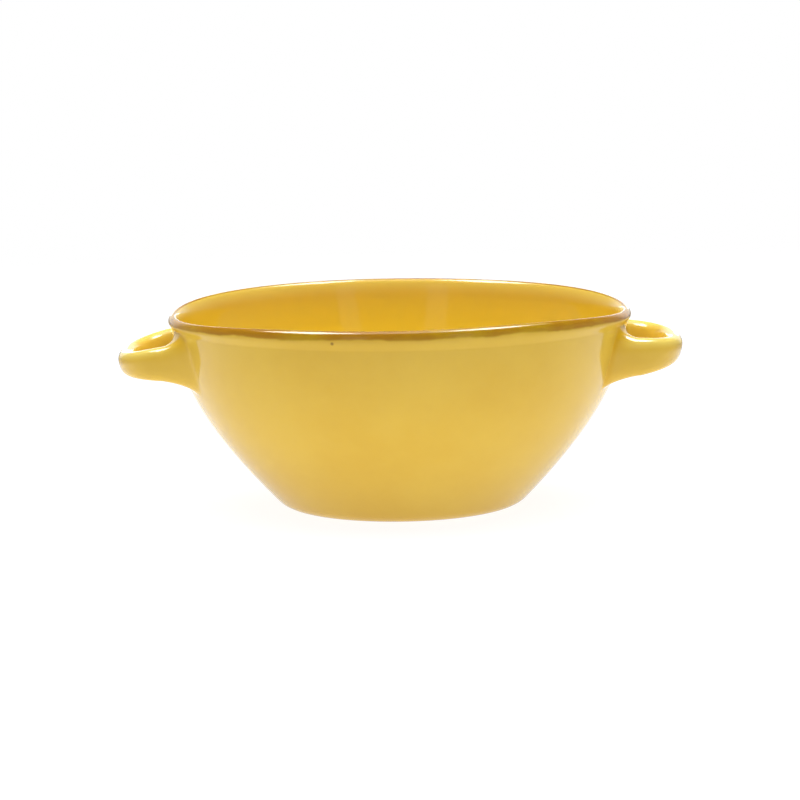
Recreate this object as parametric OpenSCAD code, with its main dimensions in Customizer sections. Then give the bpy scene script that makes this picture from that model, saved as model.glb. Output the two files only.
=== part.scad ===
// Lug soup bowl: a glazed stoneware bowl with a loop handle on each side.
// Millimetres, +Z up. The origin is on the table, under the middle of the bowl.
// The handles lie along X, and the front of the bowl faces -Y.

/* [Bowl] */
// Outside diameter of the lip at its widest
rim_d = 145; // [132:1:160]
// Height of the rim above the table, at its mean level
bowl_h = 63.2; // [57:0.2:70]
// Diameter of the underside, inside its rounded edge
base_d = 66.6; // [58:0.2:74]
// Radius of the rounded edge round the base
base_round = 9; // [7:0.2:12]
// Slope of the wall where it leaves the base, in degrees from level
base_slope = 46; // [42:1:52]
// Lean of the wall at the lip, in degrees from upright
lip_lean = 7; // [3:1:11]
// Thickness of the wall just above the floor
wall_t = 4.8; // [4:0.1:6]
// Thickness of the wall at the lip
wall_top_t = 3; // [2.5:0.1:4]
// Thickness of the floor
floor_t = 5.4; // [4.4:0.1:6.4]

/* [Rim] */
// Height of the lip, from its joint with the wall to the mean crest
lip_h = 5.5; // [4.5:0.1:6.5]
// Thickness of the lip at its widest
lip_t = 3.5; // [3:0.1:4.4]
// How far the lip stands out past the wall under it
lip_bulge = 0.9; // [0.4:0.1:1.4]
// Height of the rounded crown of the lip
crown_h = 2.7; // [2:0.1:3.4]
// How far the rim rises at the front and back, and dips at the handles
rim_wave = 1; // [0:0.1:1.2]
// Height of the smaller unevenness of the rim
rim_ripple = 0.3; // [0:0.05:0.4]

/* [Foot] */
// Height of the foot ring, which is also the depth of the recess inside it
foot_h = 1.8; // [1.2:0.1:2.6]
// Width of the foot ring
foot_w = 5; // [3.5:0.1:7]
// Radius of the rounded edges of the foot ring
foot_round = 0.6; // [0.3:0.1:0.9]
// How far the glazed base stays above the table
glaze_line = 0.35; // [0.2:0.05:0.6]
// How far the foot ring stands in from the base's rounded edge
foot_inset = 0.6; // [0.4:0.1:1.2]

/* [Handles] */
// How far a handle stands out past the lip
handle_out = 15.7; // [13:0.1:20]
// Thickness of the strap, seen from above
strap_t = 5.8; // [4.8:0.1:6.8]
// Outward tilt of the strap's top at the tip, in degrees
tip_tilt = 16; // [0:1:20]

/* [Left handle] */
// Distance between the middles of the left handle's two legs
left_leg_span = 47; // [40:0.5:52]
// Depth of the left legs' middle line below the mean rim
left_leg_drop = 13.8; // [13:0.1:17]
// Depth of the left tip's middle line below the mean rim
left_tip_drop = 15.6; // [13:0.1:18]
// Height of the left strap at its legs
left_leg_h = 12; // [9:0.1:13]
// Height of the left strap at its tip
left_tip_h = 7.2; // [6:0.1:9]

/* [Right handle] */
// Distance between the middles of the right handle's two legs
right_leg_span = 47; // [40:0.5:52]
// Depth of the right legs' middle line below the mean rim
right_leg_drop = 14.8; // [13:0.1:17]
// Depth of the right tip's middle line below the mean rim
right_tip_drop = 14; // [13:0.1:18]
// Height of the right strap at its legs
right_leg_h = 13.2; // [9:0.1:14]
// Height of the right strap at its tip
right_tip_h = 8.3; // [6:0.1:9]

/* [Slip joints] */
// Length of a joint between the wall and the end of the strap
joint_l = 8.2; // [6:0.1:9]
// How far a joint spreads along the wall, away from the finger gap
joint_spread = 4.2; // [3:0.1:7]
// How far a joint spreads along the wall, towards the finger gap
joint_web = 11.2; // [6:0.1:12]
// How far a joint spreads down the wall below the strap
joint_fall = 5; // [3:0.1:6]
// The same spread of the right front joint, which meets the wall in a crease
crease_spread = 1.2; // [0.8:0.1:3]
// How far the right front joint spreads down the wall below the strap
crease_fall = 3.5; // [1:0.1:5]

/* [Hidden] */

glaze_colour = "#E0BC54";
joint_colour = "#D9B145";
rim_colour = "#A9772F";
clay_colour = "#D8BE98";

// Clearance between the foot ring and the glazed skirt round it
seat_gap = 0.2;
// Film of slip between a joint's foot and the wall
slip_gap = 0.1;
// How far the top of a joint's foot stays below the lip
lip_gap = 0.2;

// Pulls of the wall's curve at the base and at the lip, as shares of its chord
base_pull_share = 0.393;
lip_pull_share = 0.333;
// Where along the wall's curve the inside turns in to the floor
well_share = 0.2;
// Handle of a cubic curve whose ends keep their own slopes
ease_share = 1 / 3;
// How far the lip's inside runs on up from the wall, of the lip's height
inner_rise_share = 0.62;
// How far it runs level before the crest, of the way across
crest_share = 0.4;
// How much of its spread a joint has taken where its flare turns along the wall
waist_share = 0.35;
// How far the flare runs straight on from the strap, of the joint's length
straight_share = 0.3;
// The same on the side of a joint that meets the wall in a crease
crease_straight_share = 0.75;

// Powers of the superellipses of the strap's outline and of its section
arch_power = 2.8;
section_power = 2.5;
// The same of a joint's outline on the wall, at its corner between the gap and the lip
corner_power = 4.5;
// The same of the creased joint's outline, at its corner under the lip away from the gap
crease_power = 1.6;
// Directions in degrees of the rim's wave and of its ripple
wave_turn = 7;
ripple_turn = 15;
// Three-fold and five-fold parts of the ripple, as shares of the four-fold part
three_share = 0.65;
five_share = 0.5;

// Step counts
wall_steps = 28;
arc_steps = 8;
well_steps = 12;
rise_steps = 4;
crown_steps = 7;
inner_steps = 11;
lip_sides = 96;
strap_steps = 36;
section_sides = 24;
joint_steps = 8;
cap_steps = 4;
// Step in degrees over which the strap's direction is measured
turn_step = 0.5;
// Step along the wall's curve over which the direction of its inside is measured
curve_step = 0.01;

rim_r = rim_d / 2;
base_r = base_d / 2;
foot_r = base_r - foot_inset;
floor_z = foot_h + floor_t;
lip_z = bowl_h - lip_h;
crown_z = bowl_h - crown_h;

function unit(v) = v / norm(v);
function signed_power(x, p) = sign(x) * pow(abs(x), p);
function smooth(x) = x * x * (3 - 2 * x);

// Point of a cubic curve with the control points p
function bezier(p, t) =
    pow(1 - t, 3) * p[0] + 3 * pow(1 - t, 2) * t * p[1]
    + 3 * (1 - t) * t * t * p[2] + pow(t, 3) * p[3];

// Direction of the same curve
function heading(p, t) = unit(
    pow(1 - t, 2) * (p[1] - p[0]) + 2 * (1 - t) * t * (p[2] - p[1])
    + t * t * (p[3] - p[2])
);

// Outside of the wall, as [radius, height] points from the base to the lip
wall_foot = [
    base_r + base_round * sin(base_slope),
    glaze_line + base_round * (1 - cos(base_slope))
];
wall_top = [rim_r - lip_bulge, lip_z];
wall_chord = norm(wall_top - wall_foot);
wall_curve = [
    wall_foot,
    wall_foot + wall_chord * base_pull_share * [cos(base_slope), sin(base_slope)],
    wall_top - wall_chord * lip_pull_share * [sin(lip_lean), cos(lip_lean)],
    wall_top
];
base_edge = [
    for (i = [0:arc_steps - 1])
        let (a = base_slope * i / arc_steps)
        [base_r + base_round * sin(a), glaze_line + base_round * (1 - cos(a))]
];
outer_wall = [for (i = [0:wall_steps]) bezier(wall_curve, i / wall_steps)];

// Inside of the wall, which thins from the floor to the lip
function inner_wall(t) =
    let (
        h = heading(wall_curve, t),
        thickness = wall_t + (wall_top_t - wall_t) * t
    )
    bezier(wall_curve, t) + thickness * [-h[1], h[0]];

inner_side = [
    for (i = [0:wall_steps])
        inner_wall(well_share + (1 - well_share) * i / wall_steps)
];
inner_heights = [for (p = inner_side) [p[1], p[0]]];
lip_inner_r = lookup(lip_z, inner_heights);

// Well of the bowl, where the inside of the wall rounds in to the floor
well_top = inner_wall(well_share);
well_heading = unit(
    inner_wall(well_share + curve_step) - inner_wall(well_share - curve_step)
);
well_corner = [
    well_top[0] - (well_top[1] - floor_z) * well_heading[0] / well_heading[1],
    floor_z
];
well_floor_r = well_corner[0] - norm(well_top - well_corner);
well = [
    for (i = [1:well_steps])
        let (t = i / well_steps)
        pow(1 - t, 2) * well_top + 2 * (1 - t) * t * well_corner
        + t * t * [well_floor_r, floor_z]
];

// Rounded lower corner of the foot ring, as [distance in from its side, height]
foot_corner = [
    for (i = [0:arc_steps])
        let (a = 90 * i / arc_steps)
        foot_round * [1 - sin(a), 1 - cos(a)]
];

// Outside radius of the wall at height z
outer_heights = [for (p = outer_wall) [p[1], p[0]]];
function wall_r(z) = lookup(z, outer_heights);

// Rise and fall of the rim round the bowl
function rim_rise(a) =
    -rim_wave * cos(2 * (a - wave_turn)) - rim_ripple * cos(4 * a)
    + rim_ripple * three_share * sin(3 * a - ripple_turn)
    + rim_ripple * five_share * sin(5 * a - ripple_turn);

// Section of the lip, from the outside of the joint over the crown to the inside
lip_rise = crown_z - lip_z;
lip_outer_curve = [
    wall_top, wall_top + lip_rise * ease_share * [tan(lip_lean), 1],
    [rim_r, crown_z] - lip_rise * ease_share * [0, 1], [rim_r, crown_z]
];
crest = [rim_r - lip_t / 2, bowl_h];
lip_inner = [lip_inner_r, lip_z];
lip_inner_curve = [
    lip_inner, lip_inner + lip_h * inner_rise_share * [tan(lip_lean), 1],
    crest - (crest[0] - lip_inner_r) * crest_share * [1, 0], crest
];
lip_section = [
    for (i = [0:rise_steps - 1]) bezier(lip_outer_curve, i / rise_steps),
    for (i = [0:crown_steps - 1])
        let (a = 90 * i / crown_steps)
        [crest[0] + lip_t / 2 * cos(a), crown_z + crown_h * sin(a)],
    for (i = [inner_steps:-1:0]) bezier(lip_inner_curve, i / inner_steps)
];

function lip_point(p, a) =
    let (lift = smooth((p[1] - lip_z) / lip_h))
    [p[0] * cos(a), p[0] * sin(a), p[1] + lift * rim_rise(a)];

// Sizes of each handle: leg span, leg height, tip height, leg middle z, tip middle z
left_sizes = [
    left_leg_span, left_leg_h, left_tip_h, bowl_h - left_leg_drop, bowl_h - left_tip_drop
];
right_sizes = [
    right_leg_span, right_leg_h, right_tip_h,
    bowl_h - right_leg_drop, bowl_h - right_tip_drop
];
function leg_span(sizes) = sizes[0];
function leg_h(sizes) = sizes[1];
function tip_h(sizes) = sizes[2];
function leg_z(sizes) = sizes[3];
function tip_z(sizes) = sizes[4];

// Every handle is built at +X, and the left one is then turned round the bowl
function leg_y(sizes) = leg_span(sizes) / 2;
function leg_x(sizes) = sqrt(pow(wall_r(leg_z(sizes)), 2) - pow(leg_y(sizes), 2));
function strap_reach(sizes) = rim_r + handle_out - strap_t / 2 - leg_x(sizes);
function end_turn(sizes) = acos(pow(joint_l / strap_reach(sizes), arch_power / 2));

// Middle line of a strap, from the front leg round the tip to the back leg
function strap_middle(sizes, a) = [
    leg_x(sizes) + strap_reach(sizes) * signed_power(cos(a), 2 / arch_power),
    leg_y(sizes) * signed_power(sin(a), 2 / arch_power),
    leg_z(sizes) + (tip_z(sizes) - leg_z(sizes)) * cos(a)
];

// Level direction of the strap's run at the angle a
function strap_heading(sizes, a) =
    let (d = strap_middle(sizes, a + turn_step) - strap_middle(sizes, a - turn_step))
    unit([d[0], d[1], 0]);

// Outline of the strap square to its run, with the side that faces out first
function strap_ring(sizes, a) =
    let (
        m = strap_middle(sizes, a),
        h = strap_heading(sizes, a),
        out = [h[1], -h[0], 0],
        tilt = tip_tilt * cos(a),
        half_h = (leg_h(sizes) + (tip_h(sizes) - leg_h(sizes)) * cos(a)) / 2
    )
    [
        for (i = [0:section_sides - 1])
            let (
                s = 360 * i / section_sides,
                x = strap_t / 2 * signed_power(cos(s), 2 / section_power),
                z = half_h * signed_power(sin(s), 2 / section_power)
            )
            m + out * (x * cos(tilt) + z * sin(tilt))
            + [0, 0, z * cos(tilt) - x * sin(tilt)]
    ];

// Point on the wall, at an arc length s from a leg's middle and a height z
function on_wall(sizes, side, s, z) =
    let (
        r = wall_r(leg_z(sizes)),
        a = side * asin(leg_y(sizes) / r) + s / r * 180 / PI
    )
    (wall_r(z) + slip_gap) * [cos(a), sin(a), 0] + [0, 0, z];

// What each joint is like: spread away from the gap, fall, and on that side its straight
// share and the power of its upper corner
soft_root = [joint_spread, joint_fall, straight_share, section_power];
creased_root = [crease_spread, crease_fall, crease_straight_share, crease_power];
function spread(root) = root[0];
function fall(root) = root[1];
function straight(root) = root[2];
function away_power(root) = root[3];

// How far a joint spreads up the wall above the strap, which is nearly to the lip
function joint_rise(sizes) = lip_z - lip_gap - leg_z(sizes) - leg_h(sizes) / 2;

// Outline of a joint on the wall, where flare is its share of the full spread, and
// scale draws the outline in to the leg's middle
function joint_foot(sizes, side, root, flare, scale = 1) = [
    for (i = [0:section_sides - 1])
        let (
            s = 360 * i / section_sides,
            away = cos(s) > 0,
            up = sin(s) > 0,
            half_w = strap_t / 2 + flare * (away ? spread(root) : joint_web),
            half_h = leg_h(sizes) / 2 + flare * (up ? joint_rise(sizes) : fall(root)),
            power = !up ? section_power : away ? away_power(root) : corner_power
        )
        on_wall(
            sizes, side,
            side * scale * half_w * signed_power(cos(s), 2 / power),
            leg_z(sizes) + scale * half_h * signed_power(sin(s), 2 / power)
        )
];

// Rings of a joint, from the strap's end to the wall and across its foot
function joint_rings(sizes, side, root) =
    let (
        end = side * end_turn(sizes),
        start = strap_ring(sizes, end),
        onward = side * strap_heading(sizes, end) * joint_l,
        waist = joint_foot(sizes, side, root, waist_share),
        foot = joint_foot(sizes, side, root, 1)
    )
    [
        for (k = [0:joint_steps])
            [
                for (i = [0:section_sides - 1])
                    let (
                        away = smooth(max(0, cos(360 * i / section_sides))),
                        run = straight_share + (straight(root) - straight_share) * away
                    )
                    bezier([start[i], start[i] + onward * run, waist[i], foot[i]], k / joint_steps)
            ],
        for (k = [1:cap_steps - 1]) joint_foot(sizes, side, root, 1, 1 - k / cap_steps)
    ];

// Triangles between two rings of n points that start at a and b
function band(a, b, n) = [
    for (i = [0:n - 1])
        let (j = (i + 1) % n)
        each [[a + i, b + j, b + i], [a + i, a + j, b + j]]
];

function flipped(faces) = [for (f = faces) [f[2], f[1], f[0]]];

// Closed solid through rings of equal length, with a middle point for each end
module through_rings(rings, first, last, turned = false) {
    n = len(rings[0]);
    m = len(rings);
    ends = m * n;
    faces = [
        for (k = [0:m - 2]) each band(k * n, (k + 1) * n, n),
        for (i = [0:n - 1]) [ends, (i + 1) % n, i],
        for (i = [0:n - 1]) [ends + 1, (m - 1) * n + i, (m - 1) * n + (i + 1) % n]
    ];
    polyhedron(
        points = [for (r = rings) each r, first, last],
        faces = turned ? flipped(faces) : faces
    );
}

// Closed ring through sections of equal length that meet end to end
module round_sections(sections) {
    n = len(sections[0]);
    m = len(sections);
    polyhedron(
        points = [for (s = sections) each s],
        faces = [for (k = [0:m - 1]) each band(k * n, (k + 1) % m * n, n)]
    );
}

module strap(sizes) {
    end = end_turn(sizes);
    through_rings(
        [for (k = [0:strap_steps]) strap_ring(sizes, end * (2 * k / strap_steps - 1))],
        strap_middle(sizes, -end), strap_middle(sizes, end)
    );
}

// Flared root that joins one leg to the wall: side is 1 for the leg at +Y
module slip_joint(sizes, side, root) {
    through_rings(
        joint_rings(sizes, side, root),
        strap_middle(sizes, side * end_turn(sizes)),
        on_wall(sizes, side, 0, leg_z(sizes)),
        turned = side < 0
    );
}

module bowl_body() {
    color(glaze_colour)
    rotate_extrude($fn = 180)
    polygon([
        [0, foot_h],
        [foot_r + seat_gap, foot_h],
        [foot_r + seat_gap, glaze_line],
        each base_edge,
        each outer_wall,
        [lip_inner_r, lip_z],
        for (i = [len(inner_side) - 1:-1:0]) if (inner_side[i][1] < lip_z) inner_side[i],
        each well,
        [0, floor_z]
    ]);
}

module rim_lip() {
    color(rim_colour)
    round_sections([
        for (i = [0:lip_sides - 1])
            [for (p = lip_section) lip_point(p, 360 * i / lip_sides)]
    ]);
}

module foot_ring() {
    color(clay_colour)
    rotate_extrude($fn = 180)
    polygon([
        for (c = foot_corner) [foot_r - c[0], c[1]],
        [foot_r, foot_h],
        [foot_r - foot_w, foot_h],
        for (i = [arc_steps:-1:0]) [foot_r - foot_w + foot_corner[i][0], foot_corner[i][1]]
    ]);
}

module left_handle() {
    color(glaze_colour)
    rotate([0, 0, 180])
    strap(left_sizes);
}

module right_handle() {
    color(glaze_colour)
    strap(right_sizes);
}

module left_front_joint() {
    color(joint_colour)
    rotate([0, 0, 180])
    slip_joint(left_sizes, 1, soft_root);
}

module left_back_joint() {
    color(joint_colour)
    rotate([0, 0, 180])
    slip_joint(left_sizes, -1, soft_root);
}

module right_front_joint() {
    color(joint_colour)
    slip_joint(right_sizes, -1, creased_root);
}

module right_back_joint() {
    color(joint_colour)
    slip_joint(right_sizes, 1, soft_root);
}

bowl_body();
rim_lip();
foot_ring();
left_handle();
right_handle();
left_front_joint();
left_back_joint();
right_front_joint();
right_back_joint();
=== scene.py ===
"""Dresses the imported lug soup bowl: glazed skins over its clay solids, a floor, lights and a camera.

The shapes follow the same formulas as the part's source, with more points and with the small
unevenness of hand work. Their sizes are millimetres until a mesh is made, where MM turns them to
metres. The camera, floor, lamps and patterns are in metres.
"""

import math

import bpy
import numpy as np
from mathutils import Matrix, Vector


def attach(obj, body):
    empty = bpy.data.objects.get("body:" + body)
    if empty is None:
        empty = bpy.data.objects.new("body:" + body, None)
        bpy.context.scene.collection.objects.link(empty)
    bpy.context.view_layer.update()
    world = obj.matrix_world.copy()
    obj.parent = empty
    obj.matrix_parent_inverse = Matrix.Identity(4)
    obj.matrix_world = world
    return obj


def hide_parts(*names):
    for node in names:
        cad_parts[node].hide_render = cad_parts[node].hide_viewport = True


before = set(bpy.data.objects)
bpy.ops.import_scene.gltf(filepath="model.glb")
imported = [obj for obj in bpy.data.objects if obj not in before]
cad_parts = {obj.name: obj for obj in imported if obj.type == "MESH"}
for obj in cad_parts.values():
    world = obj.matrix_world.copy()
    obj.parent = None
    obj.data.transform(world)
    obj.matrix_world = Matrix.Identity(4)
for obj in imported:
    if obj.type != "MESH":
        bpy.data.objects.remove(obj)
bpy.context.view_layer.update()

MM = 0.001
TAU = 2 * math.pi

# Camera, fitted to the photo's outline
CAMERA_AT = Vector((0, -1.071, 0.1903))
CAMERA_AIM = Vector((-0.00034, 0, 0.03309))
CAMERA_ROLL = math.radians(-0.992)
CAMERA_LENS = 154.6
CAMERA_SENSOR = 36


def make_camera():
    data = bpy.data.cameras.new("camera")
    data.lens = CAMERA_LENS
    data.sensor_width = CAMERA_SENSOR
    camera = bpy.data.objects.new("camera", data)
    turn = (CAMERA_AIM - CAMERA_AT).to_track_quat("-Z", "Y")
    camera.matrix_world = (
        Matrix.Translation(CAMERA_AT) @ turn.to_matrix().to_4x4() @ Matrix.Rotation(CAMERA_ROLL, 4, "Z")
    )
    bpy.context.scene.collection.objects.link(camera)
    bpy.context.scene.camera = camera


# Sizes, as in the part's source
RIM_R = 72.5
BOWL_H = 63.2
BASE_R = 33.3
BASE_ROUND = 9
BASE_SLOPE = math.radians(46)
LIP_LEAN = math.radians(7)
WALL_T = 4.8
WALL_TOP_T = 3
FLOOR_T = 5.4
LIP_H = 5.5
LIP_T = 3.5
LIP_BULGE = 0.9
CROWN_H = 2.7
RIM_WAVE = 1
RIM_RIPPLE = 0.3
FOOT_H = 1.8
FOOT_W = 5
FOOT_ROUND = 0.6
GLAZE_LINE = 0.35
FOOT_INSET = 0.6
HANDLE_OUT = 15.7
STRAP_T = 5.8
TIP_TILT = math.radians(16)
JOINT_L = 8.2
JOINT_WEB = 11.2
BASE_PULL = 0.393
LIP_PULL = 0.333
WELL_SHARE = 0.2
EASE = 1 / 3
WAIST_SHARE = 0.35
STRAIGHT_SHARE = 0.3
INNER_RISE_SHARE = 0.62
CREST_SHARE = 0.4
ARCH_POWER = 2.8
SECTION_POWER = 2.5
CORNER_POWER = 4.5
WAVE_TURN = math.radians(7)
RIPPLE_TURN = math.radians(15)
THREE_SHARE = 0.65
FIVE_SHARE = 0.5
LEFT = dict(span=47, leg_h=12, tip_h=7.2, leg_z=BOWL_H - 13.8, tip_z=BOWL_H - 15.6)
RIGHT = dict(span=47, leg_h=13.2, tip_h=8.3, leg_z=BOWL_H - 14.8, tip_z=BOWL_H - 14)

FOOT_R = BASE_R - FOOT_INSET
FLOOR_Z = FOOT_H + FLOOR_T
LIP_Z = BOWL_H - LIP_H
CROWN_Z = BOWL_H - CROWN_H

# Points round the bowl and round a strap, and along each part of the skins
AROUND = 288
SECTION_SIDES = 72
STRAP_STEPS = 140
JOINT_STEPS = 36
RECESS_STEPS = 14
SEAT_STEPS = 6
BEAD_STEPS = 6
EDGE_STEPS = 14
WALL_STEPS = 70
LIP_OUTER_STEPS = 13
CROWN_STEPS = 20
LIP_INNER_STEPS = 32
INNER_STEPS = 60
WELL_STEPS = 22
FLOOR_STEPS = 12
FOOT_CORNER_STEPS = 9
FOOT_FACE_STEPS = 12
# Points of the tables that radii are looked up in
TABLE_STEPS = 400
LIP_TABLE_STEPS = 60
# Steps over which directions are taken, as an angle and as a share of a curve
TURN_STEP = math.radians(0.5)
SHARE_STEP = 0.01
# Radius of the innermost rings, which a flat cap closes
MIDDLE_R = 0.4
# Least distance from the lip's joint to the next ring inside
JOINT_SPACE = 0.05
# How far the straps' tips and the lip's crest stay inside the box of the solids
INSET = 0.03
# The glaze under the base: its rise in the middle of the recess, where over the foot ring it starts
# past the recess and ends past the ring, and the bead at its edge with the level strip outside
RECESS_RISE = 0.35
SEAT_START = 0.6
SEAT_END = 0.1
BEAD_W = 0.2
BEAD_H = 0.3
BEAD_LEVEL = 0.1
# The thrown spiral: its pitch, its depth outside and inside, how far its turns wander and over
# what length, and the heights over which it comes in above the base and ends below the lip
RING_PITCH = 5.2
OUTER_RING = 0.012
INNER_RING = 0.015
RING_WANDER = 0.6
WANDER_LENGTH = 9
RING_START = (GLAZE_LINE, GLAZE_LINE + 5)
RING_END = (LIP_Z - 1, LIP_Z - 7)
# How much of the deeper inside colour shows, painted as shade from light bouncing round inside the bowl,
# and the depths below the rim over which it comes in
INSIDE_SHADE_SHARE = 0.75
INSIDE_SHADE_SPAN = (1.5, 7)
# How much of a paler colour, painted as light, shows just inside the lip, and the depths over which it
# ends
PAINTED_LIGHT_SHARE = 0.6
PAINTED_LIGHT_SPAN = (4.6, 1.0)
# Where a strap's top is painted paler, as light from above falls on it, by the sine of the angle round its
# section, and the shares of a joint's length over which that ends
PAINTED_LIGHT_TOP = (0.35, 0.95)
PAINTED_LIGHT_END = (0.6, 0)
# Where the glaze pools in the corner between a joint and the wall, painted darker together with the
# crease's shade: shares of the joint's length over which it comes in and ends, and cosines of the angle
# round it over which it comes in
CORNER_POOL_AND_SHADE = (0.55, 0.8)
CORNER_POOL_AND_SHADE_END = (1.1, 1.0)
CORNER_POOL_AND_SHADE_SIDE = (0, 0.625)
# Where shade is painted on a joint's top, under the lip: shares of its length, and sines of that angle
TOP_SHADE = (0.45, 0.75)
TOP_SHADE_SIDE = (0.25, 0.75)
# How far the joints' glaze climbs on to the lip, and how far their feet stand off the wall
LIP_CLIMB = 1.0
JOINT_LIFT = 0.02
# Rings of a joint's skirt: height off the wall, and reach past the foot
SKIRT = ((0.0, 0.2), (-0.06, 0.4), (-0.25, 0.55))
# Joints worked smooth into the wall, and the one that the photo shows with a crease
SOFT_ROOT = dict(spread=4.2, fall=5, straight=0.3, power=2.5, corner_pool_and_shade=0.0, top_shade=0.5)
CREASED_ROOT = dict(spread=1.2, fall=3.5, straight=0.75, power=1.6, corner_pool_and_shade=0.7, top_shade=0.5)


def unit(v):
    return v / np.linalg.norm(v, axis=-1, keepdims=True)


def signed_power(x, p):
    return np.sign(x) * np.abs(x) ** p


def ramp(x, low, high):
    """0 below low, 1 above high, smooth between. low may be above high."""
    x = np.clip((x - low) / (high - low), 0, 1)
    return x * x * (3 - 2 * x)


def bezier(p, t):
    """Points at the shares t of a cubic curve with the control points p."""
    t = np.asarray(t, float)[..., None]
    return (1 - t) ** 3 * p[0] + 3 * (1 - t) ** 2 * t * p[1] + 3 * (1 - t) * t * t * p[2] + t ** 3 * p[3]


def bezier_heading(p, t):
    """Its unit directions there."""
    t = np.asarray(t, float)[..., None]
    return unit((1 - t) ** 2 * (p[1] - p[0]) + 2 * (1 - t) * t * (p[2] - p[1]) + t * t * (p[3] - p[2]))


# The bowl's section
WALL_FOOT = np.array([
    BASE_R + BASE_ROUND * math.sin(BASE_SLOPE),
    GLAZE_LINE + BASE_ROUND * (1 - math.cos(BASE_SLOPE)),
])
WALL_TOP = np.array([RIM_R - LIP_BULGE, LIP_Z])
WALL_CHORD = np.linalg.norm(WALL_TOP - WALL_FOOT)
WALL_CURVE = [
    WALL_FOOT,
    WALL_FOOT + WALL_CHORD * BASE_PULL * np.array([math.cos(BASE_SLOPE), math.sin(BASE_SLOPE)]),
    WALL_TOP - WALL_CHORD * LIP_PULL * np.array([math.sin(LIP_LEAN), math.cos(LIP_LEAN)]),
    WALL_TOP,
]
LEAN = np.array([math.tan(LIP_LEAN), 1])
LIP_OUTER_TOP = np.array([RIM_R, CROWN_Z])
LIP_OUTER_CURVE = [
    WALL_TOP,
    WALL_TOP + (CROWN_Z - LIP_Z) * EASE * LEAN,
    LIP_OUTER_TOP - [0, (CROWN_Z - LIP_Z) * EASE],
    LIP_OUTER_TOP,
]
WALL_TABLE = bezier(WALL_CURVE, np.linspace(0, 1, TABLE_STEPS))
SKIN_TABLE = np.concatenate([
    WALL_TABLE, bezier(LIP_OUTER_CURVE, np.linspace(0, 1, LIP_TABLE_STEPS))[1:],
])


def wall_r(z):
    """Outside radius of the wall."""
    return np.interp(z, WALL_TABLE[:, 1], WALL_TABLE[:, 0])


def skin_r(z):
    """Outside radius of the wall and of the lip's lower half."""
    return np.interp(z, SKIN_TABLE[:, 1], SKIN_TABLE[:, 0])


def inner_wall(t):
    """Points inside the wall, square across its thickness from the outside at the shares t."""
    h = bezier_heading(WALL_CURVE, t)
    thickness = (WALL_T + (WALL_TOP_T - WALL_T) * np.asarray(t, float))[..., None]
    return bezier(WALL_CURVE, t) + thickness * np.stack([-h[..., 1], h[..., 0]], -1)


INNER_TABLE = inner_wall(np.linspace(WELL_SHARE, 1, TABLE_STEPS))
LIP_INNER_R = np.interp(LIP_Z, INNER_TABLE[:, 1], INNER_TABLE[:, 0])


def rim_rise(a):
    """Rise of the rim at an angle, from two and four waves round it and fainter three and five."""
    return (
        -RIM_WAVE * np.cos(2 * (a - WAVE_TURN)) - RIM_RIPPLE * np.cos(4 * a)
        + RIM_RIPPLE * THREE_SHARE * np.sin(3 * a - RIPPLE_TURN)
        + RIM_RIPPLE * FIVE_SHARE * np.sin(5 * a - RIPPLE_TURN)
    )


def underside_section():
    """From the middle of the recess out to the glaze's edge beside the foot ring."""
    inside_r = FOOT_R - FOOT_W
    recess = [
        [r, FOOT_H + RECESS_RISE * (1 - (r / inside_r) ** 2)]
        for r in np.linspace(MIDDLE_R, inside_r, RECESS_STEPS)
    ]
    seat = [[r, FOOT_H] for r in np.linspace(inside_r + SEAT_START, FOOT_R + SEAT_END, SEAT_STEPS)]
    beside = [[FOOT_R + FOOT_INSET / 2, FOOT_H / 2]]
    bead = [
        [BASE_R - BEAD_W * math.cos(a) - BEAD_LEVEL, GLAZE_LINE + BEAD_H - BEAD_H * math.sin(a)]
        for a in np.linspace(0, math.pi / 2, BEAD_STEPS)
    ]
    return np.array(recess + seat + beside + bead)


def outer_section():
    """From the rounded base edge up the wall to the lip's joint."""
    a = np.linspace(0, BASE_SLOPE, EDGE_STEPS)[:-1]
    edge = np.stack([BASE_R + BASE_ROUND * np.sin(a), GLAZE_LINE + BASE_ROUND * (1 - np.cos(a))], -1)
    return np.concatenate([edge, bezier(WALL_CURVE, np.linspace(0, 1, WALL_STEPS))])


def lip_section():
    """From the lip's joint outside, over the crest, to its joint inside, both ends included."""
    outer = bezier(LIP_OUTER_CURVE, np.linspace(0, 1, LIP_OUTER_STEPS))[:-1]
    crest = np.array([RIM_R - LIP_T / 2, BOWL_H - INSET])
    a = np.linspace(0, math.pi / 2, CROWN_STEPS)[:-1]
    crown = np.stack([crest[0] + LIP_T / 2 * np.cos(a), CROWN_Z + (crest[1] - CROWN_Z) * np.sin(a)], -1)
    foot = np.array([LIP_INNER_R, LIP_Z])
    level = [(crest[0] - LIP_INNER_R) * CREST_SHARE, 0]
    inner_curve = [crest, crest - level, foot + LIP_H * INNER_RISE_SHARE * LEAN, foot]
    inner = bezier(inner_curve, np.linspace(0, 1, LIP_INNER_STEPS))
    return np.concatenate([outer, crown, inner])


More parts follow.
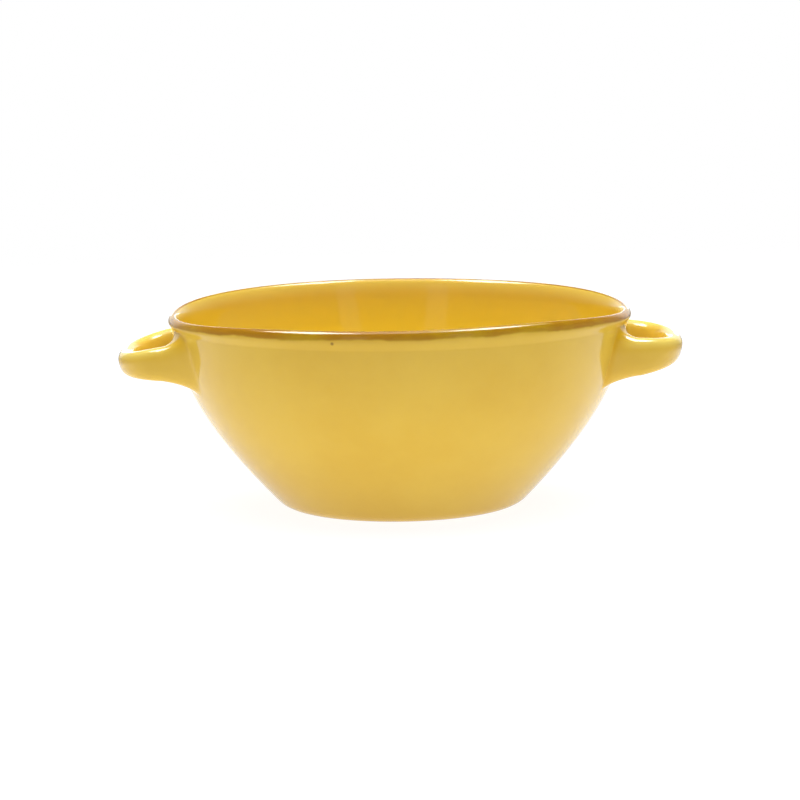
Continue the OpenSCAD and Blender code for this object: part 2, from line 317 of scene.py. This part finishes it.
def inner_section():
    """From the lip's joint down the inside and through the well to the middle of the floor."""
    side = inner_wall(np.linspace(1, WELL_SHARE, INNER_STEPS))
    side = np.concatenate([[[LIP_INNER_R, LIP_Z]], side[side[:, 1] < LIP_Z - JOINT_SPACE]])
    top = inner_wall(WELL_SHARE)
    h = unit(inner_wall(WELL_SHARE + SHARE_STEP) - inner_wall(WELL_SHARE - SHARE_STEP))
    corner = np.array([top[0] - (top[1] - FLOOR_Z) * h[0] / h[1], FLOOR_Z])
    floor_r = corner[0] - np.linalg.norm(top - corner)
    t = np.linspace(0, 1, WELL_STEPS)[1:, None]
    well = (1 - t) ** 2 * top + 2 * (1 - t) * t * corner + t * t * np.array([floor_r, FLOOR_Z])
    level = np.linspace(floor_r, MIDDLE_R, FLOOR_STEPS)[1:]
    floor = np.stack([level, np.full(len(level), FLOOR_Z)], -1)
    return np.concatenate([side, well, floor])


def turned(section, ring_size=0.0):
    """Points of a section at every angle, with a thrown spiral of that size and the rim's waves."""
    a = np.arange(AROUND) / AROUND * TAU
    r, z = section[:, 0][:, None], section[:, 1][:, None]
    turn = a[None, :]
    lift = ramp(z, LIP_Z, BOWL_H) * rim_rise(turn)
    along = np.concatenate([[0], np.cumsum(np.linalg.norm(np.diff(section, axis=0), axis=1))])[:, None]
    wander = RING_WANDER * np.sin(along / WANDER_LENGTH)
    spiral = np.sin(TAU * along / RING_PITCH - turn + wander)
    r = r + ring_size * ramp(z, *RING_START) * ramp(z, *RING_END) * (spiral - 1)
    return np.stack([r * np.cos(turn), r * np.sin(turn), z + lift], -1)


# Handles
class Handle:
    """One loop handle, built at +X, from the same sizes as the part's source."""

    def __init__(self, span, leg_h, tip_h, leg_z, tip_z):
        self.leg_y = span / 2
        self.leg_h, self.tip_h = leg_h, tip_h
        self.leg_z, self.tip_z = leg_z, tip_z
        self.leg_r = wall_r(leg_z)
        self.leg_x = math.sqrt(self.leg_r ** 2 - self.leg_y ** 2)
        self.reach = RIM_R + HANDLE_OUT - INSET - STRAP_T / 2 - self.leg_x
        self.end = math.acos((JOINT_L / self.reach) ** (ARCH_POWER / 2))
        self.sides = -np.arange(SECTION_SIDES) / SECTION_SIDES * TAU

    def middle(self, a):
        """The strap's middle line, at angles from 0 at its tip to plus and minus its end's."""
        return np.stack([
            self.leg_x + self.reach * signed_power(np.cos(a), 2 / ARCH_POWER),
            self.leg_y * signed_power(np.sin(a), 2 / ARCH_POWER),
            self.leg_z + (self.tip_z - self.leg_z) * np.cos(a),
        ], -1)

    def heading(self, a):
        """Level unit directions of the middle line."""
        d = self.middle(a + TURN_STEP) - self.middle(a - TURN_STEP)
        d[..., 2] = 0
        return unit(d)

    def strap_rings(self, a):
        """Rings round the middle line, taller at the legs and tilted outwards at the tip."""
        m, h = self.middle(a)[:, None, :], self.heading(a)
        out = np.stack([h[:, 1], -h[:, 0], np.zeros(len(a))], -1)[:, None, :]
        tilt = (TIP_TILT * np.cos(a))[:, None, None]
        half_h = (self.leg_h + (self.tip_h - self.leg_h) * np.cos(a))[:, None, None] / 2
        x = (STRAP_T / 2 * signed_power(np.cos(self.sides), 2 / SECTION_POWER))[None, :, None]
        z = half_h * signed_power(np.sin(self.sides), 2 / SECTION_POWER)[None, :, None]
        up = np.array([0, 0, 1.0])
        return m + out * (x * np.cos(tilt) + z * np.sin(tilt)) + up * (z * np.cos(tilt) - x * np.sin(tilt))

    def off_wall(self, side, s, z, lift):
        """Points at the height z that lie s round the wall from a leg and stand lift off it."""
        a = side * math.asin(self.leg_y / self.leg_r) + s / self.leg_r
        r = skin_r(z) + lift
        return np.stack([r * np.cos(a), r * np.sin(a), z], -1)

    def foot(self, side, root, flare, lift, grow=0.0):
        """A joint's outline on the wall, from the strap's size at flare 0 to its full size at 1."""
        away, up = np.cos(self.sides), np.sin(self.sides)
        rise = LIP_Z + LIP_CLIMB - self.leg_z - self.leg_h / 2
        half_w = STRAP_T / 2 + flare * np.where(away > 0, root["spread"], JOINT_WEB) + grow
        half_h = self.leg_h / 2 + flare * np.where(up > 0, rise, root["fall"]) + grow
        power = np.where(up <= 0, SECTION_POWER, np.where(away > 0, root["power"], CORNER_POWER))
        s = side * half_w * signed_power(away, 2 / power)
        return self.off_wall(side, s, self.leg_z + half_h * signed_power(up, 2 / power), lift)

    def joint_rings(self, side, root):
        """Rings from next to the strap's end out to a skirt that dips under the wall and the lip."""
        end = np.array([side * self.end])
        start = self.strap_rings(end)[0]
        away = ramp(np.cos(self.sides), 0, 1)[:, None]
        run = STRAIGHT_SHARE + (root["straight"] - STRAIGHT_SHARE) * away
        onward = side * self.heading(end)[0] * JOINT_L * run
        waist = self.foot(side, root, WAIST_SHARE, JOINT_LIFT)
        foot = self.foot(side, root, 1, JOINT_LIFT)
        t = np.linspace(0, 1, JOINT_STEPS + 1)[1:]
        rings = [bezier([start, start + onward, waist, foot], np.full(len(start), k)) for k in t]
        skirt = [self.foot(side, root, 1, lift, grow) for lift, grow in SKIRT]
        return np.array(rings + skirt)


# Meshes
def grid_normals(points):
    """Outward normals of a grid of points whose rows are closed rings."""
    along = np.gradient(points, axis=0)
    around = np.roll(points, -1, axis=1) - np.roll(points, 1, axis=1)
    return unit(np.cross(around, along))


def ring_faces(rows, n, loop, flat_span):
    """Faces between rings of n points and over the two ends, and which of them are flat."""
    i = np.arange(n)
    j = (i + 1) % n
    faces, flat = [], []
    for k in range(rows if loop else rows - 1):
        a, b = k * n, (k + 1) % rows * n
        faces += np.stack([a + i, a + j, b + j, b + i], -1).tolist()
        flat += [k == flat_span] * n
    if not loop:
        middle, last = rows * n, (rows - 1) * n
        faces += np.stack([np.full(n, middle), j, i], -1).tolist()
        faces += np.stack([np.full(n, middle + 1), last + i, last + j], -1).tolist()
        flat += [True] * (2 * n)
    return faces, flat


def set_normals(mesh, flat, normals):
    """Gives flat faces their own normal, and the others the normals of their points."""
    corner_vert = np.zeros(len(mesh.loops), np.int32)
    mesh.loops.foreach_get("vertex_index", corner_vert)
    sizes = np.zeros(len(mesh.polygons), np.int32)
    mesh.polygons.foreach_get("loop_total", sizes)
    corner_face = np.repeat(np.arange(len(sizes)), sizes)
    face_normals = np.zeros(len(sizes) * 3)
    mesh.polygons.foreach_get("normal", face_normals)
    own = face_normals.reshape(-1, 3)[corner_face]
    is_flat = np.array(flat)[corner_face][:, None]
    mesh.normals_split_custom_set(np.where(is_flat, own, normals[corner_vert]).tolist())


def add_piece(name, points, normals, node, attributes=None, loop=False, flat_span=None, turn=0.0):
    """A closed mesh through rings of points. Its ends are flat caps, or with loop its last ring
    meets the first. The skin keeps the given normals, so that it runs on into its neighbours."""
    rows, n = points.shape[:2]
    faces, flat = ring_faces(rows, n, loop, flat_span)
    verts = [points.reshape(-1, 3)]
    if not loop:
        verts.append(np.array([points[0].mean(0), points[-1].mean(0)]))
    spin = np.array(Matrix.Rotation(turn, 3, "Z")).T
    verts = np.concatenate(verts) @ spin * MM
    mesh = bpy.data.meshes.new(name)
    mesh.from_pydata(verts.tolist(), [], faces)
    mesh.polygons.foreach_set("use_smooth", [True] * len(mesh.polygons))
    ends = np.zeros((2, 3))
    set_normals(mesh, flat, np.concatenate([normals.reshape(-1, 3) @ spin, ends]))
    for key, values in (attributes or {}).items():
        layer = mesh.attributes.new(key, "FLOAT", "POINT")
        full = np.zeros(len(verts), np.float32)
        full[:rows * n] = values.reshape(-1)
        layer.data.foreach_set("value", full)
    piece = bpy.data.objects.new(name, mesh)
    bpy.context.scene.collection.objects.link(piece)
    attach(piece, "root")
    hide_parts(node)
    return piece


def make_bowl():
    """The glazed body and lip: one run of rings, cut at the lip's joint outside and inside."""
    under, lip = underside_section(), lip_section()
    outer, inner = outer_section()[:-1], inner_section()[1:]
    skin = np.concatenate([
        turned(under), turned(outer, OUTER_RING), turned(lip), turned(inner, INNER_RING),
    ])
    normals = grid_normals(skin)
    first = len(under) + len(outer)
    last = first + len(lip) - 1
    depth = BOWL_H - np.concatenate([under, outer, lip, inner])[:, 1]
    depth = np.repeat(depth[:, None], AROUND, axis=1)
    inside = np.zeros(skin.shape[:2])
    inside[first + int(np.argmax(lip[:, 1])):] = 1
    # Painted shade: a deeper colour that comes in below the rim inside, in place of light bouncing round
    # the bowl.
    painted_inside_shade = INSIDE_SHADE_SHARE * inside * ramp(depth, *INSIDE_SHADE_SPAN)
    # Painted light: a paler colour just inside the lip, where light from above falls on its inner
    # shoulder.
    painted_light = PAINTED_LIGHT_SHARE * inside * ramp(depth, *PAINTED_LIGHT_SPAN)
    shades = {"below_crest": depth, "inside": inside, "painted_inside_shade": painted_inside_shade, "painted_light": painted_light}
    cut = slice(first, last + 1)
    lip_piece = add_piece(
        "lip_glaze", skin[cut], normals[cut], "rim_lip",
        {key: shade[cut] for key, shade in shades.items()}, loop=True, flat_span=len(lip) - 1,
    )
    rest = np.r_[0:first + 1, last:len(skin)]
    body_piece = add_piece(
        "body_glaze", skin[rest], normals[rest], "bowl_body",
        {key: shade[rest] for key, shade in shades.items()}, flat_span=first,
    )
    return body_piece, lip_piece


def make_foot():
    """The bare ring under the base, level on top and with two rounded edges below."""
    a = np.linspace(0, math.pi / 2, FOOT_CORNER_STEPS)
    corner = FOOT_ROUND * np.stack([1 - np.sin(a), 1 - np.cos(a)], -1)
    outer = np.stack([FOOT_R - corner[:, 0], corner[:, 1]], -1)
    inner = np.stack([FOOT_R - FOOT_W + corner[::-1, 0], corner[::-1, 1]], -1)
    across = np.linspace(inner[-1, 0], outer[0, 0], FOOT_FACE_STEPS)[1:-1]
    face = np.stack([across, np.zeros(len(across))], -1)
    section = np.concatenate([[[FOOT_R - FOOT_W, FOOT_H]], inner, face, outer, [[FOOT_R, FOOT_H]]])
    points = turned(section)
    return add_piece(
        "foot_clay", points, grid_normals(points), "foot_ring",
        loop=True, flat_span=len(section) - 1,
    )


def pool_and_shade_amount(h, root):
    """How much darker amber is painted on a joint: pooled glaze with painted shade in its corner, and
    painted shade on top under the lip.
    """
    t = np.arange(1, JOINT_STEPS + len(SKIRT) + 1)[:, None] / JOINT_STEPS
    across, up = np.cos(h.sides)[None, :], np.sin(h.sides)[None, :]
    corner = ramp(t, *CORNER_POOL_AND_SHADE) * ramp(t, *CORNER_POOL_AND_SHADE_END) * ramp(across, *CORNER_POOL_AND_SHADE_SIDE)
    top = ramp(t, *TOP_SHADE) * ramp(up, *TOP_SHADE_SIDE)
    return np.clip(root["corner_pool_and_shade"] * corner + root["top_shade"] * top, 0, 1)


def make_handle(side, sizes, turn, roots):
    """The strap and two roots of one loop, where roots holds what its -Y and +Y roots are like."""
    h = Handle(**sizes)
    low = h.joint_rings(-1, roots[0])[::-1]
    strap = h.strap_rings(np.linspace(-h.end, h.end, STRAP_STEPS))
    high = h.joint_rings(1, roots[1])
    skin = np.concatenate([low, strap, high])
    normals = grid_normals(skin)
    first, last = len(low), len(low) + len(strap) - 1
    # Darker amber on the joints: pooled glaze with painted shade in the crease by the wall, and painted
    # shade on top under the lip.
    pool_and_shade = np.zeros(skin.shape[:2])
    pool_and_shade[:first] = pool_and_shade_amount(h, roots[0])[::-1]
    pool_and_shade[last + 1:] = pool_and_shade_amount(h, roots[1])
    # Painted light: the strap tops paler, as light from above falls on them, fading out along the joints.
    painted_light = np.zeros(skin.shape[:2])
    painted_light[first:last + 1] = 1
    fade = ramp(np.arange(1, len(low) + 1) / JOINT_STEPS, *PAINTED_LIGHT_END)
    painted_light[:first] = fade[::-1][:, None]
    painted_light[last + 1:] = fade[:, None]
    painted_light *= ramp(np.sin(h.sides), *PAINTED_LIGHT_TOP)[None, :]
    near, far = ("back", "front") if side == "left" else ("front", "back")
    cuts = [
        (f"{side}_strap", slice(first, last + 1), f"{side}_handle"),
        (f"{side}_{near}_root", slice(0, first + 1), f"{side}_{near}_joint"),
        (f"{side}_{far}_root", slice(last, len(skin)), f"{side}_{far}_joint"),
    ]
    return [
        add_piece(
            name, skin[cut], normals[cut], node,
            {"pool_and_shade": pool_and_shade[cut], "painted_light": painted_light[cut]}, turn=turn,
        )
        for name, cut, node in cuts
    ]


# Materials
# Sockets of a Mix node that mixes colours
MIX_INPUTS = (0, 6, 7)
MIX_OUTPUT = 2
# Size of the smallest specks of a pattern against the largest
SPECK_SMALLEST = 0.4
# Share of a single spot's radius that is solid, and how much of its colour shows
SPOT_CORE = 0.3
SPOT_SHARE = 0.7


class Nodes:
    """A node tree, with short calls for the nodes used here."""

    def __init__(self, tree):
        self.tree = tree

    def put(self, value, socket):
        """Links another socket to this one, or gives it a plain value."""
        if isinstance(value, bpy.types.NodeSocket):
            self.tree.links.new(value, socket)
        else:
            socket.default_value = value

    def node(self, kind, *values, **settings):
        """A new node with these settings, and with these values in its first sockets."""
        node = self.tree.nodes.new(kind)
        for key, value in settings.items():
            setattr(node, key, value)
        for value, socket in zip(values, node.inputs):
            self.put(value, socket)
        return node

    def math(self, operation, *values):
        return self.node("ShaderNodeMath", *values, operation=operation).outputs[0]

    def step(self, value, low, high, start=0.0, end=1.0):
        """start below low, end above high, smooth between. low may be above high."""
        span = (low, high, start, end)
        return self.node("ShaderNodeMapRange", value, *span, interpolation_type="SMOOTHSTEP").outputs[0]


class Shader(Nodes):
    """A material and its nodes."""

    def __init__(self, name):
        self.material = bpy.data.materials.new(name)
        self.material.use_nodes = True
        super().__init__(self.material.node_tree)
        self.bsdf = self.tree.nodes["Principled BSDF"]
        self.place = self.node("ShaderNodeTexCoord").outputs["Object"]

    def noise(self, scale, detail, rough=0.5):
        node = self.node("ShaderNodeTexNoise", self.place)
        node.inputs["Scale"].default_value = scale
        node.inputs["Detail"].default_value = detail
        node.inputs["Roughness"].default_value = rough
        return node.outputs["Fac"]

    def mix(self, factor, a, b):
        """a where the factor is 0, b where it is 1."""
        node = self.node("ShaderNodeMix", data_type="RGBA")
        for value, number in zip((factor, a, b), MIX_INPUTS):
            self.put(value, node.inputs[number])
        return node.outputs[MIX_OUTPUT]

    def attribute(self, name):
        return self.node("ShaderNodeAttribute", attribute_name=name).outputs["Fac"]

    def specks(self, scale, rarity, size):
        """Rare round spots, each inside one cell of a Voronoi pattern."""
        cells = self.node("ShaderNodeTexVoronoi", self.place)
        cells.inputs["Scale"].default_value = scale
        chance = self.node("ShaderNodeSeparateColor", cells.outputs["Color"]).outputs
        chosen = self.math("GREATER_THAN", chance[0], 1 - rarity)
        radius = self.math("MULTIPLY_ADD", chance[1], size * (1 - SPECK_SMALLEST), size * SPECK_SMALLEST)
        return self.math("MULTIPLY", chosen, self.step(cells.outputs["Distance"], radius, 0.0))

    def spot(self, at, radius):
        """One soft round spot."""
        away = self.node("ShaderNodeVectorMath", self.place, at, operation="DISTANCE").outputs["Value"]
        return self.math("MULTIPLY", self.step(away, radius, radius * SPOT_CORE), SPOT_SHARE)

    def bump(self, height, distance, onto=None):
        node = self.node("ShaderNodeBump")
        node.inputs["Distance"].default_value = distance
        self.put(height, node.inputs["Height"])
        if onto is not None:
            self.put(onto, node.inputs["Normal"])
        return node.outputs["Normal"]


def rgb(*values):
    """A colour as sockets take it, with full alpha."""
    return (*values, 1.0)


# Colours
THICK_GLAZE = rgb(0.70, 0.44, 0.045)
THIN_GLAZE = rgb(0.74, 0.49, 0.06)
# The next three colours are painted: shade inside the bowl, light on the strap tops and just inside the
# lip, and pooled glaze with painted shade at the joints.
SHADED_INSIDE_GLAZE = rgb(0.775, 0.522, 0.024)
PAINTED_LIGHT_GLAZE = rgb(0.82, 0.62, 0.13)
POOL_AND_SHADE_GLAZE = rgb(0.70, 0.40, 0.012)
IRON_SPECK = rgb(0.16, 0.06, 0.015)
STAIN = rgb(0.40, 0.185, 0.008)
WORN_STAIN = rgb(0.46, 0.27, 0.008)
DRY_CLAY = rgb(0.62, 0.48, 0.31)
DARK_CLAY = rgb(0.47, 0.34, 0.20)
# Noises as (scale, detail, roughness), and the values between which some turn from 0 to 1
CLOUDS = (32, 3.0, 0.55)
CLOUD_SPAN = (0.32, 0.68)
GRAIN = (420, 2.0)
WORN = (38, 4.0, 0.6)
WORN_SPAN = (0.4, 0.62)
RAGGED = (70, 3.0, 0.6)
BODY_RIPPLE = (110, 1.0)
LIP_RIPPLE = (240, 1.0)
FINE_RIPPLE = (520, 1.0)
CLAY_TONE = (600, 4.0, 0.65)
CLAY_GRAIN = (1500, 3.0, 0.7)
# How much of the mottling is grain, and the rest clouds
GRAIN_SHARE = 0.25
# Specks as (scale, rarity, size)
IRON_SPECKS = (190, 0.008, 0.12)
SAND_SPECKS = (900, 0.05, 0.3)
# The one speck on the front that the photo shows, as its place and radius
FRONT_SPECK = ((-0.0200, -0.0696, 0.0603), 0.0007)
# Height of the waviness and of the clay's sand, in metres
RIPPLE_HEIGHT = 0.00003
FINE_HEIGHT = 0.000008
CLAY_HEIGHT = 0.00008
# Gloss: roughness of thick glaze, what thin glaze adds to it, and roughness of the clay
GLAZE_ROUGHNESS = 0.04
THIN_ROUGHNESS = 0.03
GLAZE_IOR = 1.52
CLAY_ROUGHNESS = 0.85
# Millimetres below the crest over which the stain comes in, outside and inside, and the width of
# its ragged edge outside
STAIN_OUTSIDE = (2.7, 1.9)
STAIN_INSIDE = (0.5, 0.15)
RAGGED_WIDTH = 1.6


def glaze_base(sh, ripple):
    """Mottled yellow, paler where it is thin, with a deeper colour painted inside the bowl as shade, a
    paler colour painted as light on the strap tops and just inside the lip, darker amber where glaze pools
    in the joints' creases together with painted shade there and under the lip, rare iron specks, and its
    gloss and fine waviness."""
    cloud = sh.step(sh.noise(*CLOUDS), *CLOUD_SPAN)
    grain = sh.noise(*GRAIN)
    tone = sh.math("MULTIPLY_ADD", grain, GRAIN_SHARE, sh.math("MULTIPLY", cloud, 1 - GRAIN_SHARE))
    colour = sh.mix(tone, THICK_GLAZE, THIN_GLAZE)
    # Painted shade inside the bowl, painted light on strap tops and inside the lip, pooled glaze with
    # painted shade at the joints.
    for key, shade in (("painted_inside_shade", SHADED_INSIDE_GLAZE), ("painted_light", PAINTED_LIGHT_GLAZE), ("pool_and_shade", POOL_AND_SHADE_GLAZE)):
        colour = sh.mix(sh.attribute(key), colour, shade)
    for speck in (sh.specks(*IRON_SPECKS), sh.spot(*FRONT_SPECK)):
        colour = sh.mix(speck, colour, IRON_SPECK)
    rough = sh.math("MULTIPLY_ADD", cloud, THIN_ROUGHNESS, GLAZE_ROUGHNESS)
    sh.put(rough, sh.bsdf.inputs["Roughness"])
    sh.bsdf.inputs["IOR"].default_value = GLAZE_IOR
    wavy = sh.bump(sh.noise(*ripple), RIPPLE_HEIGHT)
    sh.put(sh.bump(sh.noise(*FINE_RIPPLE), FINE_HEIGHT, wavy), sh.bsdf.inputs["Normal"])
    return colour


def yellow_glaze():
    sh = Shader("yellow_glaze")
    sh.put(glaze_base(sh, BODY_RIPPLE), sh.bsdf.inputs["Base Color"])
    return sh.material


def rim_glaze():
    """The same glaze with a brown stain over the lip, ragged below and thin in places."""
    sh = Shader("rim_glaze")
    base = glaze_base(sh, LIP_RIPPLE)
    depth = sh.attribute("below_crest")
    ragged = sh.math("MULTIPLY_ADD", sh.noise(*RAGGED), RAGGED_WIDTH, -RAGGED_WIDTH / 2)
    outer_mask = sh.step(sh.math("SUBTRACT", depth, ragged), *STAIN_OUTSIDE)
    inner_mask = sh.step(depth, *STAIN_INSIDE)
    mask = sh.mix(sh.attribute("inside"), outer_mask, inner_mask)
    worn = sh.step(sh.noise(*WORN), *WORN_SPAN)
    stain = sh.mix(worn, STAIN, WORN_STAIN)
    sh.put(sh.mix(mask, base, stain), sh.bsdf.inputs["Base Color"])
    return sh.material


def bare_clay():
    """Matt buff clay, uneven in tone and slightly sandy."""
    sh = Shader("bare_clay")
    colour = sh.mix(sh.noise(*CLAY_TONE), DARK_CLAY, DRY_CLAY)
    colour = sh.mix(sh.specks(*SAND_SPECKS), colour, IRON_SPECK)
    sh.put(colour, sh.bsdf.inputs["Base Color"])
    sh.bsdf.inputs["Roughness"].default_value = CLAY_ROUGHNESS
    sh.put(sh.bump(sh.noise(*CLAY_GRAIN), CLAY_HEIGHT), sh.bsdf.inputs["Normal"])
    return sh.material


# Floor, lights and background
WHITE = rgb(1, 1, 1)
# Half the floor's width, and the distances from the bowl over which it fades to the background
FLOOR_HALF = 0.9
FLOOR_FADE = (0.45, 0.8)
# Its own grey, which catches the shadow, its glow, and how much of both plain white covers where
# the floor is seen
FLOOR_GREY = rgb(0.5, 0.5, 0.5)
FLOOR_ROUGHNESS = 0.9
FLOOR_GLOW = 0.76
FLOOR_CLEAR = 0.65
# Its brightness in reflections in front of the bowl, the places along Y between which that turns
# to white, and the distances over which it dims there
FLOOR_FRONT = 0.2
FLOOR_SPAN = (-0.12, 0.06)
FLOOR_REACH = (0.36, 0.22)
# Brightness of the background as a light
WORLD_LIGHT = 0.15
# Its brightness in reflections, low down and high up, and how high a direction is where one turns
# to the other: to the camera's side, then behind the bowl, with where along Y these two meet
CAMERA_SIDE = (0.3, 0.06)
CAMERA_RISE = (0.15, 0.5)
BACK_SIDE = (1.0, 0.25)
BACK_RISE = (0.2, 0.5)
BACK_SPAN = (0.76, 0.94)
# Its brightness below the horizon in reflections, and the directions over which that comes in
UNDER_LEVEL = 0.35
UNDER_SPAN = (0.02, -0.06)
# Lamps as (name, place, size, energy, what they do: light matt surfaces, show in glossy ones)
LAMP_AIM = (0, 0, 0.04)
LAMPS = (
    ("overhead", (0, -0.05, 1.25), (2.2, 1.1), 22.0, "lights and shows"),
    ("overhead_fill", (0, 0.2, 1.25), (1.4, 1.0), 11.5, "lights"),
    ("right_stroke", (0.45, -0.12, 0.95), (0.5, 0.4), 10.0, "shows"),
    ("left_stroke", (-0.48, -0.12, 0.95), (0.56, 0.44), 12.5, "shows"),
    ("right_strip", (0.5, -0.87, 0.42), (0.2, 0.5), 0.12, "lights and shows"),
    ("left_strip", (-0.37, -0.93, 0.42), (0.22, 0.5), 0.13, "lights and shows"),
    ("rear_strip", (0, 1.2, 0.1), (0.6, 0.12), 0.65, "shows"),
)


def floor_white():
    """Grey with a glow, under plain white where it is seen, and clear far out and from below."""
    sh = Shader("floor")
    base = {
        "Base Color": FLOOR_GREY, "Roughness": FLOOR_ROUGHNESS, "Specular IOR Level": 0.0,
        "Emission Color": WHITE, "Emission Strength": FLOOR_GLOW,
    }
    for name, value in base.items():
        sh.bsdf.inputs[name].default_value = value
    path = sh.node("ShaderNodeLightPath").outputs
    straight = sh.math("MAXIMUM", path["Is Camera Ray"], path["Is Transmission Ray"])
    seen = sh.math("MAXIMUM", straight, path["Is Glossy Ray"])
    distance = sh.node("ShaderNodeVectorMath", sh.place, operation="LENGTH").outputs["Value"]
    along = sh.node("ShaderNodeSeparateXYZ", sh.place).outputs["Y"]
    mirrored = sh.step(along, *FLOOR_SPAN, FLOOR_FRONT, 1.0)
    shown = sh.math("MULTIPLY", mirrored, sh.step(distance, *FLOOR_REACH))
    white = sh.node("ShaderNodeEmission", WHITE, sh.math("MAXIMUM", straight, shown))
    cover = sh.math("MULTIPLY", seen, FLOOR_CLEAR)
    lift = sh.node("ShaderNodeMixShader", cover, sh.bsdf.outputs[0], white.outputs[0])
    faded = sh.step(distance, *FLOOR_FADE)
    below = sh.node("ShaderNodeNewGeometry").outputs["Backfacing"]
    clear = sh.node("ShaderNodeBsdfTransparent")
    gone = sh.math("MAXIMUM", faded, below)
    surface = sh.node("ShaderNodeMixShader", gone, lift.outputs[0], clear.outputs[0])
    sh.put(surface.outputs[0], sh.tree.nodes["Material Output"].inputs["Surface"])
    return sh.material


def make_floor():
    """A white floor round the bowl that fades to the white background, and is clear from below."""
    s = FLOOR_HALF
    mesh = bpy.data.meshes.new("floor")
    mesh.from_pydata([(-s, -s, 0), (s, -s, 0), (s, s, 0), (-s, s, 0)], [], [(0, 1, 2, 3)])
    floor = bpy.data.objects.new("floor", mesh)
    bpy.context.scene.collection.objects.link(floor)
    mesh.materials.append(floor_white())


def make_world():
    """White to the camera, in reflections a dim room that is white low down behind the bowl, and
    a plain soft light on everything else."""
    world = bpy.data.worlds.new("world")
    bpy.context.scene.world = world
    world.use_nodes = True
    sky = Nodes(world.node_tree)
    path = sky.node("ShaderNodeLightPath").outputs
    way = sky.node("ShaderNodeSeparateXYZ", sky.node("ShaderNodeTexCoord").outputs["Generated"]).outputs
    front = sky.step(way["Z"], *CAMERA_RISE, *CAMERA_SIDE)
    back = sky.step(way["Z"], *BACK_RISE, *BACK_SIDE)
    room = sky.step(way["Y"], *BACK_SPAN, front, back)
    shown = sky.step(way["Z"], *UNDER_SPAN, room, UNDER_LEVEL)
    mirrored = sky.math("MAXIMUM", path["Is Glossy Ray"], path["Is Transmission Ray"])
    other = sky.step(mirrored, 0.0, 1.0, WORLD_LIGHT, shown)
    strength = sky.step(path["Is Camera Ray"], 0.0, 1.0, other, 1.0)
    background = sky.tree.nodes["Background"]
    background.inputs["Color"].default_value = WHITE
    sky.put(strength, background.inputs["Strength"])


def add_softbox(name, at, size, energy, work):
    """A lamp that is out of the camera's sight and aims at the bowl."""
    lamp = bpy.data.lights.new(name, "AREA")
    lamp.shape = "RECTANGLE"
    lamp.size, lamp.size_y = size
    lamp.energy = energy
    box = bpy.data.objects.new(name, lamp)
    at, aim = Vector(at), Vector(LAMP_AIM)
    box.matrix_world = Matrix.Translation(at) @ (aim - at).to_track_quat("-Z", "Y").to_matrix().to_4x4()
    box.visible_camera = False
    box.visible_diffuse = "lights" in work
    box.visible_glossy = "shows" in work
    bpy.context.scene.collection.objects.link(box)


make_camera()
body, lip = make_bowl()
foot = make_foot()
left_loop = make_handle("left", LEFT, math.pi, (SOFT_ROOT, SOFT_ROOT))
right_loop = make_handle("right", RIGHT, 0.0, (CREASED_ROOT, SOFT_ROOT))

yellow = yellow_glaze()
for piece in [body, *left_loop, *right_loop]:
    piece.data.materials.append(yellow)
lip.data.materials.append(rim_glaze())
foot.data.materials.append(bare_clay())

make_floor()
make_world()
for lamp in LAMPS:
    add_softbox(*lamp)

bpy.context.scene.view_settings.view_transform = "Standard"
